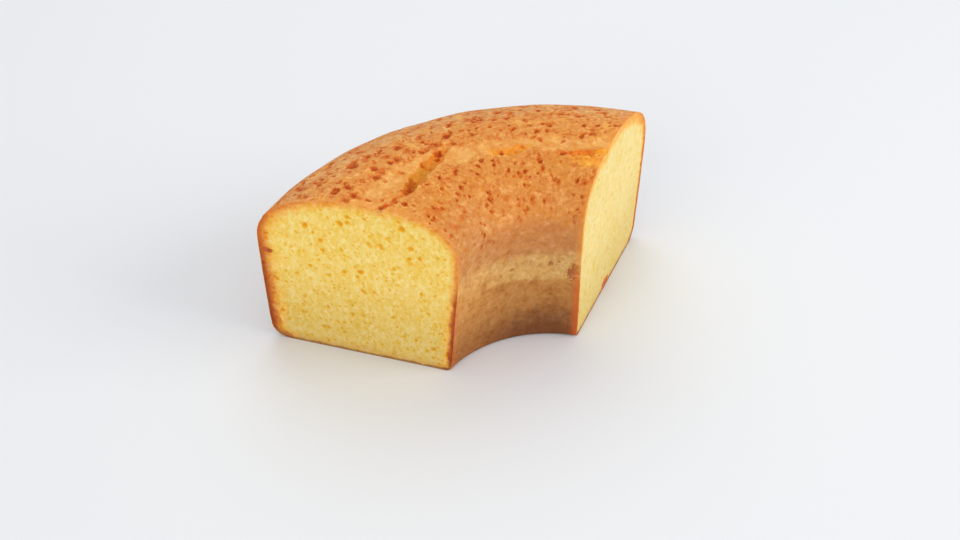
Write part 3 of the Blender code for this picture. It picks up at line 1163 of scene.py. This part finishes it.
def make_grain_group():
    """Open grain: small round holes, of a given cell size in metres and a given largest share of a cell."""
    given_values = {"Cell": 1.0 * MM, "Open": 0.4}
    group, given, result = new_group("open_grain", given_values, {"Hole": "NodeSocketFloat"})
    spot = add_node(group, "ShaderNodeTexCoord", {}, {}).outputs["Object"]
    inputs = {"Vector": spot, "Scale": GRAIN_DRIFT_SCALE, "Detail": 1.0}
    drift = add_node(group, "ShaderNodeTexNoise", {}, inputs)
    inputs = {0: drift.outputs["Color"], 1: (GRAIN_DRIFT, GRAIN_DRIFT, GRAIN_DRIFT), 2: spot}
    bent = add_node(group, "ShaderNodeVectorMath", {"operation": "MULTIPLY_ADD"}, inputs).outputs["Vector"]
    scale = arithmetic(group, "DIVIDE", 1.0, given["Cell"])
    cells = add_node(group, "ShaderNodeTexVoronoi", {}, {"Vector": bent, "Scale": scale})
    draw = add_node(group, "ShaderNodeSeparateColor", {}, {"Color": cells.outputs["Color"]}).outputs
    reach = arithmetic(group, "MULTIPLY", draw["Red"], given["Open"])
    beyond = arithmetic(group, "SUBTRACT", cells.outputs["Distance"], reach)
    strength = between(group, draw["Green"], 0.4, 1.0)
    hole = multiply(group, rescale(group, beyond, *GRAIN_EDGE), strength)
    group.links.new(hole, result["Hole"])


def make_blot_group():
    """Ragged blots that gather in clusters, of about a given size, where the patches pass a given level."""
    given_values = {"Size": 2.0 * MM, "Seed": 0.0, "Level": 0.62, "Cluster": 0.35, "Upright": 1.0}
    group, given, result = new_group("clustered_blots", given_values, {"Blot": "NodeSocketFloat"})
    shape = {"Seed": given["Seed"], "Upright": given["Upright"]}
    fine = use_group(group, "soft_patches", {"Size": given["Size"], "Detail": 3.0, **shape})
    wide_size = arithmetic(group, "MULTIPLY", given["Size"], CLUSTER_SIZE)
    wide = use_group(group, "soft_patches", {"Size": wide_size, "Detail": 1.0, **shape})
    gather = multiply(group, arithmetic(group, "SUBTRACT", wide["Patch"], 0.5), given["Cluster"])
    gathered = arithmetic(group, "ADD", fine["Patch"], gather)
    beyond = arithmetic(group, "SUBTRACT", gathered, given["Level"])
    group.links.new(rescale(group, beyond, *BLOT_EDGE), result["Blot"])


def make_ragged_group():
    """Gives a mark ragged edges, then eases it from 0 at its low bound to 1 at its high one."""
    given_values = {"Mark": 0.0, "Size": 0.9 * MM, "Reach": 0.8, "Low": 0.15, "High": 0.8}
    group, given, result = new_group("ragged_edge", given_values, {"Mask": "NodeSocketFloat"})
    inputs = {"Size": given["Size"], "Detail": 3.0, "Seed": 7.0}
    patch = use_group(group, "soft_patches", inputs)["Patch"]
    shift = arithmetic(group, "MULTIPLY", arithmetic(group, "SUBTRACT", patch, 0.5), given["Reach"])
    mark = arithmetic(group, "ADD", given["Mark"], shift)
    group.links.new(rescale(group, mark, given["Low"], given["High"]), result["Mask"])


def soft_patches(tree, size, detail, seed, upright=1.0):
    inputs = {"Size": size, "Detail": detail, "Seed": seed, "Upright": upright}
    return use_group(tree, "soft_patches", inputs)["Patch"]


def patches(tree, size, detail, seed, low, high, most=1.0, upright=1.0):
    """Soft patches of about this size in metres, eased from 0 to most between two bounds."""
    return rescale(tree, soft_patches(tree, size, detail, seed, upright), low, high, 0.0, most)


def grain(tree, cell, open_part):
    return use_group(tree, "open_grain", {"Cell": cell, "Open": open_part})["Hole"]


def blots(tree, size, seed, level, cluster=0.35, upright=1.0):
    inputs = {"Size": size, "Seed": seed, "Level": level, "Cluster": cluster, "Upright": upright}
    return use_group(tree, "clustered_blots", inputs)["Blot"]


def ragged(tree, mark, low, high, size=0.9 * MM, reach=0.8):
    inputs = {"Mark": mark, "Size": size, "Reach": reach, "Low": low, "High": high}
    return use_group(tree, "ragged_edge", inputs)["Mask"]


def ragged_spot(tree, mark, low, high, size=0.9 * MM, reach=0.8):
    """A ragged mark that stays within where it is above 0."""
    return multiply(tree, ragged(tree, mark, low, high, size, reach), rescale(tree, mark, 0.0, 0.12))


def bake_ramp(tree, profile, bake):
    """Colour by length along the outline."""
    full = float(outline_lengths()[-1])
    stops = [(length * MM / full, shade) for length, shade in bake]
    return colour_ramp(tree, arithmetic(tree, "DIVIDE", profile, full), stops)


def new_material(name):
    material = bpy.data.materials.new(name)
    material.use_nodes = True
    tree = material.node_tree
    return material, tree, tree.nodes["Principled BSDF"]


def set_bump(tree, surface, height, distance, strength):
    inputs = {"Height": height, "Distance": distance, "Strength": strength}
    bump = add_node(tree, "ShaderNodeBump", {}, inputs)
    tree.links.new(bump.outputs["Normal"], surface.inputs["Normal"])


def set_translucence(surface, weight, reach):
    """Lets light in by about this reach in metres, deepest in red and least in blue."""
    surface.inputs["Subsurface Weight"].default_value = weight
    surface.inputs["Subsurface Radius"].default_value = LIGHT_DEPTHS
    surface.inputs["Subsurface Scale"].default_value = reach


def bands_of_bake_and_painted_light(tree, profile, sweep):
    """The bake in bands along the outline, whose edges waver, with painted shade low on the walls and a
    painted sheen high on the outer side.
    """
    waver = arithmetic(tree, "SUBTRACT", soft_patches(tree, *WAVER_PATCHES), 0.5)
    length = arithmetic(tree, "ADD", profile, multiply(tree, waver, BAND_WAVER))
    left = bake_ramp(tree, length, LEFT_BAKE_AND_PAINTED_LIGHT)
    right = bake_ramp(tree, length, RIGHT_BAKE_AND_PAINTED_LIGHT)
    return mix_colour(tree, rescale(tree, sweep, *BAKE_CHANGE), left, right)


def soft_spot(tree, profile, sweep, place):
    """1 at a place on the crust, falling to 0 at its half widths.

    The place: share of the sweep, half width as a share, length along the outline, half width along it.
    """
    share, half_share, length, half_length = place
    aside = arithmetic(tree, "DIVIDE", arithmetic(tree, "SUBTRACT", sweep, share), half_share)
    up = arithmetic(tree, "DIVIDE", arithmetic(tree, "SUBTRACT", profile, length), half_length)
    away = arithmetic(tree, "ADD", multiply(tree, aside, aside), multiply(tree, up, up))
    return arithmetic(tree, "SUBTRACT", 1.0, away)


def mottle_crust(tree, colour, profile, dome, spotted):
    """Pale and deep patches on the dome, stronger on its far side, and fine mottle on the walls."""
    far = rescale(tree, profile, *FAR_PATCHES)
    for size, seed, low, high, most, shade in DOME_PATCHES:
        layer = multiply(tree, patches(tree, size, MOTTLE_DETAIL, seed, low, high, most), spotted, far)
        colour = mix_colour(tree, layer, colour, seen(*shade))
    wall = arithmetic(tree, "SUBTRACT", 1.0, dome)
    for size, seed, most, factors in WALL_MOTTLE:
        layer = patches(tree, size, MOTTLE_DETAIL, seed, *MOTTLE_BOUNDS, most, MOTTLE_UPRIGHT)
        colour = tint(tree, colour, multiply(tree, layer, wall), factors)
    return colour


def open_crust(tree, colour, profile, sweep, torn, hollow):
    """The golden burst and the patch beside the right crack, then the cracks and their hollows."""
    golden = two_shades(tree, patches(tree, *GOLDEN_PATCHES), *GOLDEN_SHADES)
    colour = lay(tree, colour, torn, 0.80, golden)
    beside = ragged(tree, soft_spot(tree, profile, sweep, GOLDEN_SPOT), *GOLDEN_SPOT_EDGE)
    colour = lay(tree, colour, beside, 0.62, GOLDEN_SPOT_SHADE)
    crack = ragged_spot(tree, read_attribute(tree, "crack"), *CRACK_EDGE)
    veins = patches(tree, *CRACK_VEINS)
    inside = mix_colour(tree, veins, colour_ramp(tree, sweep, CRACK_BAKE), seen(*CRACK_VEIN_SHADE))
    colour = lay(tree, colour, crack, 0.92, inside)
    return lay(tree, colour, hollow, 0.9, colour_ramp(tree, sweep, HOLLOW_BAKE))


def grain_crust(tree, colour, dome, torn):
    """Fine grain all over, fainter on the walls and in the burst."""
    for size, seed, most, factors in CRUST_GRAIN:
        layer = patches(tree, size, GRAIN_DETAIL, seed, *GRAIN_BOUNDS, most, GRAIN_UPRIGHT)
        layer = multiply(tree, layer, between(tree, dome, 0.55, 1.0), between(tree, torn, 1.0, 0.6))
        colour = tint(tree, colour, layer, factors)
    return colour


def blot_crust(tree, colour, spotted):
    """Small brown blots and specks between the pits. Returns the colour, and the blots as shallow holes."""
    holes = []
    for size, seed, level, cluster, share, shade in DOME_BLOTS:
        blot = multiply(tree, blots(tree, size, seed, level, cluster), spotted)
        colour = lay(tree, colour, blot, share, shade)
        holes.append(multiply(tree, blot, BLOT_DEPTH))
    speck = multiply(tree, grain(tree, *SPECKS), spotted)
    colour = lay(tree, colour, speck, 0.5, SPECK_SHADE)
    return colour, arithmetic(tree, "ADD", *holes)


def pit_crust(tree, colour, dome, near):
    """The pits with a red-brown edge and a darker middle, then the stains."""
    pit = multiply(tree, read_attribute(tree, "pit"), near)
    stain = read_attribute(tree, "stain")
    for mark, edge, share, shades in (
        (pit, PIT_RIM_EDGE, 0.7, PIT_RIM_SHADES),
        (pit, PIT_CORE_EDGE, 0.85, PIT_CORE_SHADES),
        (stain, STAIN_EDGE, 0.80, STAIN_SHADES),
    ):
        shade = two_shades(tree, dome, *shades)
        colour = lay(tree, colour, ragged_spot(tree, mark, *edge), share, shade)
    return colour


def painted_glow_at_cuts(tree, colour, profile, sweep, hollow):
    """Painted glow on the crust beside a cut, standing in for light let through from the crumb: golden, and
    redder at the foot.
    """
    gap = multiply(tree, read_attribute(tree, "cut_gap"), 1.0 / PAINTED_GLOW_REACH)
    low = rescale(tree, profile, *PAINTED_GLOW_FOOT)
    painted_glow = multiply(
        tree,
        ragged(tree, gap, 1.0, 0.15),
        between(tree, low, 0.40, 0.75),
        rescale(tree, sweep, 0.3, 0.7, 0.5, 1.0),
        between(tree, hollow, 1.0, 0.1),
    )
    return mix_colour(tree, painted_glow, colour, two_shades(tree, low, *PAINTED_GLOW_SHADES))


def crust_finish():
    """Orange-brown bake in bands with painted shade and sheen, a golden burst with darker cracks, red-brown
    pits, and a painted glow beside the cuts.
    """
    material, tree, surface = new_material("baked_crust")
    profile = read_attribute(tree, "profile")
    sweep = read_attribute(tree, "sweep")
    dome = multiply(tree, rescale(tree, profile, *DOME_START), rescale(tree, profile, *DOME_END))
    near = rescale(tree, profile, *NEAR_SHOULDER)
    spotted = multiply(tree, between(tree, dome, WALL_SPOTS, 1.0), near)
    torn = ragged(tree, read_attribute(tree, "burst"), *BURST_EDGE)
    hollow = ragged_spot(tree, read_attribute(tree, "hollow"), *HOLLOW_EDGE)

    # The bands carry painted shade low on the walls and a painted sheen high on the outer side
    colour = bands_of_bake_and_painted_light(tree, profile, sweep)
    colour = mottle_crust(tree, colour, profile, dome, spotted)
    # Darker at the foot of the hole's wall
    darker_foot_patch = ragged(tree, soft_spot(tree, profile, sweep, DARK_FOOT), *DARK_FOOT_EDGE)
    colour = lay(tree, colour, darker_foot_patch, 0.64, DARK_FOOT_SHADE)
    colour = open_crust(tree, colour, profile, sweep, torn, hollow)
    colour = grain_crust(tree, colour, dome, torn)
    colour, holes = blot_crust(tree, colour, multiply(tree, spotted, between(tree, torn, 1.0, 0.4)))
    colour = pit_crust(tree, colour, dome, near)
    # Painted glow beside the cuts, standing in for light let through the crust
    colour = painted_glow_at_cuts(tree, colour, profile, sweep, hollow)
    tree.links.new(colour, surface.inputs["Base Color"])

    roughness = rescale(tree, soft_patches(tree, *SHEEN_PATCHES), 0.3, 0.7, *CRUST_ROUGHNESS)
    tree.links.new(roughness, surface.inputs["Roughness"])
    surface.inputs["Specular IOR Level"].default_value = CRUST_SHEEN
    set_translucence(surface, *CRUST_TRANSLUCENCE)
    relief = arithmetic(tree, "SUBTRACT", soft_patches(tree, *CRUST_BUMPS), holes)
    set_bump(tree, surface, relief, *CRUST_BUMP_HEIGHT)
    return material


def brown_rim(tree, colour, sweep):
    """The crumb with its browned rim. Returns the colour, and how browned it is."""
    profile = read_attribute(tree, "profile")
    rind = read_attribute(tree, "rind")
    warm = ragged(tree, rind, between(tree, sweep, *WARM_BOUND), 0.45, 6.0 * MM, 1.0)
    colour = lay(tree, colour, warm, 0.85, WARM_SHADE)
    none = between(tree, sweep, *UNBROWNED_BOUND)
    full = between(tree, sweep, *BROWNED_BOUND)
    browned = ragged(tree, rind, none, full, 4.0 * MM, 0.8)
    colour = mix_colour(tree, browned, colour, bake_ramp(tree, profile, RIND_BAKE))
    outermost = ragged(tree, rind, between(tree, sweep, *OUTERMOST_BOUND), 0.04, 4.5 * MM, 0.36)
    outermost = multiply(tree, outermost, between(tree, sweep, 0.8, 0.35))
    return mix_colour(tree, outermost, colour, bake_ramp(tree, profile, EDGE_BAKE)), browned


def grain_crumb(tree, colour, holes, open_share):
    """Pale flecks, deeper blots, yellow grain and the pores, whose tints are partly painted shade in their
    hollows.
    """
    pore = read_attribute(tree, "pore")
    layers = [(patches(tree, *CRUMB_FLECKS, CRUMB_UPRIGHT), PALE_TINT)]
    for size, seed, level, cluster, share, factors in CRUMB_BLOTS:
        blot = blots(tree, size, seed, level, cluster, CRUMB_UPRIGHT)
        layers.append((multiply(tree, blot, share), factors))
    layers.append((multiply(tree, holes, 0.55), RICH_TINT))
    # The pores, deeper yellow partly from their own colour and partly as painted shade in their hollows
    layers.append((multiply(tree, ragged_spot(tree, pore, *PORE_RIM_EDGE), 0.9), RICH_TINT))
    layers.append((multiply(tree, ragged_spot(tree, pore, *PORE_CORE_EDGE), 0.9), PORE_TINT_WITH_PAINTED_SHADE))
    for layer, factors in layers:
        colour = tint(tree, colour, multiply(tree, layer, open_share), factors)
    return colour


def brown_foot(tree, colour, height, sweep):
    """The tan and brown foot of a cut face, and the browned scraps on it."""
    tan = ragged(tree, multiply(tree, height, 1.0 / TAN_FOOT), 1.0, 0.2, 2.4 * MM, 1.2)
    colour = lay(tree, colour, tan, 0.4, TAN_SHADE)
    foot = ragged(tree, multiply(tree, height, 1.0 / BROWN_FOOT), 1.0, 0.2, 6.0 * MM, 1.6)
    colour = lay(tree, colour, foot, 0.75, BROWN_SHADE)
    reach = between(tree, sweep, 1.2, 2.6)
    scrap = ragged_spot(tree, read_attribute(tree, "stain"), 0.0, 0.6, 3.2 * MM, reach)
    lighter = multiply(tree, patches(tree, *SCRAP_PATCHES), between(tree, sweep, 0.25, 1.0))
    return mix_colour(tree, scrap, colour, two_shades(tree, lighter, *SCRAP_SHADES))


def crumb_finish():
    """Pale lemon crumb, browning through gold towards the crust's rim.

    It is darker towards its foot as painted shade, paler on the right cut as a painted sheen, and deeper
    yellow in its pores, partly as painted shade.
    """
    material, tree, surface = new_material("lemon_crumb")
    spot = add_node(tree, "ShaderNodeTexCoord", {}, {}).outputs["Object"]
    height = add_node(tree, "ShaderNodeSeparateXYZ", {}, {"Vector": spot}).outputs["Z"]
    sweep = read_attribute(tree, "sweep")
    # Painted shade: darker towards the foot of each cut face, with a painted sheen that makes the right cut
    # paler
    up = rescale(tree, height, 0.0, CRUMB_PAINTED_SHADE_HEIGHT)
    left = two_shades(tree, up, *LEFT_CRUMB_WITH_PAINTED_SHADE)
    right = two_shades(tree, up, *RIGHT_CRUMB_WITH_PAINTED_SHADE_AND_SHEEN)
    colour, browned = brown_rim(tree, mix_colour(tree, sweep, left, right), sweep)
    open_share = multiply(tree, between(tree, sweep, 1.0, 0.55), between(tree, browned, 1.0, 0.75))
    holes = grain(tree, *CRUMB_GRAIN)
    colour = grain_crumb(tree, colour, holes, open_share)
    colour = tint(tree, colour, multiply(tree, patches(tree, *CRUSTY_PATCHES), browned), CRUSTY_TINT)
    colour = brown_foot(tree, colour, height, sweep)
    tree.links.new(colour, surface.inputs["Base Color"])

    surface.inputs["Roughness"].default_value = CRUMB_ROUGHNESS
    surface.inputs["Specular IOR Level"].default_value = CRUMB_SHEEN
    set_translucence(surface, *CRUMB_TRANSLUCENCE)
    bumps = soft_patches(tree, *CRUMB_BUMPS)
    relief = arithmetic(tree, "SUBTRACT", bumps, multiply(tree, holes, 0.5))
    set_bump(tree, surface, multiply(tree, relief, open_share), *CRUMB_BUMP_HEIGHT)
    return material


def base_finish():
    """The flat base, baked against the tin."""
    material, tree, surface = new_material("baked_base")
    colour = two_shades(tree, patches(tree, *BASE_PATCHES), *BASE_SHADES)
    holes = grain(tree, *BASE_GRAIN)
    colour = lay(tree, colour, holes, 0.5, BASE_GRAIN_SHADE)
    tree.links.new(colour, surface.inputs["Base Color"])
    surface.inputs["Roughness"].default_value = BASE_ROUGHNESS
    surface.inputs["Specular IOR Level"].default_value = BASE_SHEEN
    set_bump(tree, surface, multiply(tree, holes, -1.0), *BASE_BUMP_HEIGHT)
    return material


def floor_finish():
    material, tree, surface = new_material("pale_floor")
    surface.inputs["Base Color"].default_value = FLOOR_COLOUR
    surface.inputs["Roughness"].default_value = FLOOR_ROUGHNESS
    return material


# ---- Stage ----------------------------------------------------------------------------------------------


def add_floor():
    body = bmesh.new()
    bmesh.ops.create_circle(body, cap_ends=True, segments=FLOOR_SEGMENTS, radius=FLOOR_RADIUS)
    mesh = bpy.data.meshes.new("floor")
    body.to_mesh(mesh)
    body.free()
    floor = bpy.data.objects.new("floor", mesh)
    bpy.context.scene.collection.objects.link(floor)
    mesh.materials.append(floor_finish())


def add_area_light(name, place, aim, size, power):
    light = bpy.data.lights.new(name, "AREA")
    light.shape = "DISK"
    light.size = size
    light.energy = power
    lamp = bpy.data.objects.new(name, light)
    lamp.location = place
    lamp.rotation_euler = (Vector(aim) - Vector(place)).to_track_quat("-Z", "Y").to_euler()
    lamp.visible_camera = False
    bpy.context.scene.collection.objects.link(lamp)


def add_lights():
    world = bpy.data.worlds.new("studio")
    world.use_nodes = True
    sky = world.node_tree.nodes["Background"]
    sky.inputs["Color"].default_value = SKY_COLOUR
    sky.inputs["Strength"].default_value = SKY_STRENGTH
    bpy.context.scene.world = world
    for lamp in LAMPS:
        add_area_light(*lamp)


def add_camera():
    camera = bpy.data.objects.new("camera", bpy.data.cameras.new("camera"))
    level = math.cos(CAMERA_PITCH)
    ahead = Vector(
        (level * math.cos(CAMERA_HEADING), level * math.sin(CAMERA_HEADING), -math.sin(CAMERA_PITCH))
    )
    camera.location = RING_AXIS.to_3d() + CAMERA_OFFSET
    turn = ahead.to_track_quat("-Z", "Y") @ Quaternion((0.0, 0.0, 1.0), CAMERA_ROLL)
    camera.rotation_euler = turn.to_euler()
    camera.data.lens = CAMERA_LENS
    camera.data.sensor_width = CAMERA_SENSOR
    bpy.context.scene.collection.objects.link(camera)
    bpy.context.scene.camera = camera


# ---- The cake -------------------------------------------------------------------------------------------


def make_cake():
    mesh = make_body_mesh()
    add_fine_relief(mesh)
    mark_sharp_rims(mesh)
    make_patch_group()
    make_grain_group()
    make_ragged_group()
    make_blot_group()
    for finish in (crust_finish(), crumb_finish(), base_finish()):
        mesh.materials.append(finish)
    cake = bpy.data.objects.new("lemon_ring_cake", mesh)
    bpy.context.scene.collection.objects.link(cake)
    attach(cake, "root")
    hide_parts("ring_cake")


bpy.context.scene.view_settings.view_transform = "Standard"
add_floor()
add_lights()
add_camera()
make_cake()
